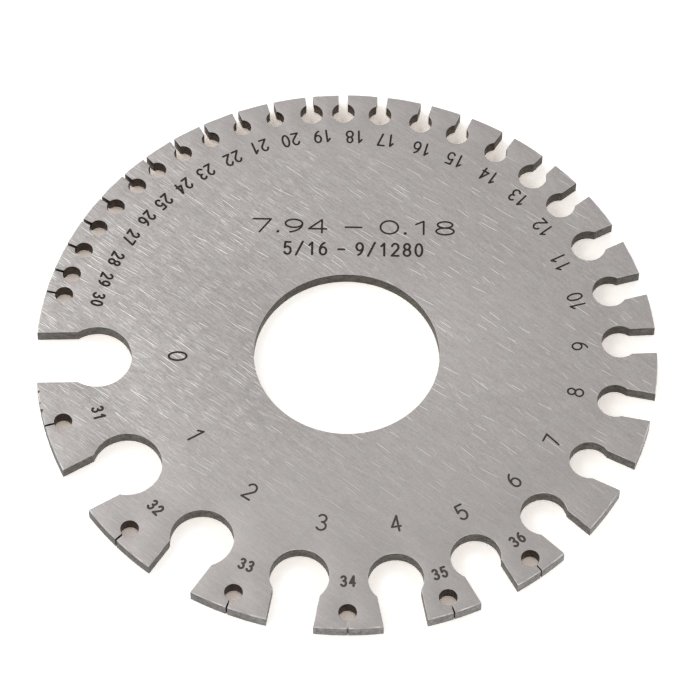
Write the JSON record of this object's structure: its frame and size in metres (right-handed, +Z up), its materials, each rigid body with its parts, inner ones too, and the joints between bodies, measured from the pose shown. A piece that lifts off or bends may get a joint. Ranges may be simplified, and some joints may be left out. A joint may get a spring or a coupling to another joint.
{
  "type": "wire gauge plate",
  "caption": "Flat round steel plate with graded slots round its rim for gauging wire and sheet, each slot ending in a relief hole, and a large hanging hole in the middle.",
  "frame": {"origin": "centre of the middle bore on the back face, which lies on the table", "axes": "+Z up through the numbered face along the bore; +Y towards the fine slots, -X out through the widest slot, 2 degrees off"},
  "size_m": [0.0849, 0.085, 0.002],
  "materials": {
    "plate_steel": "satin, brushed in straight lines, with light scratches and dark etched numbers"
  },
  "bodies": {
    "root": {"gauge_plate": "plate_steel"}
  },
  "joints": []
}
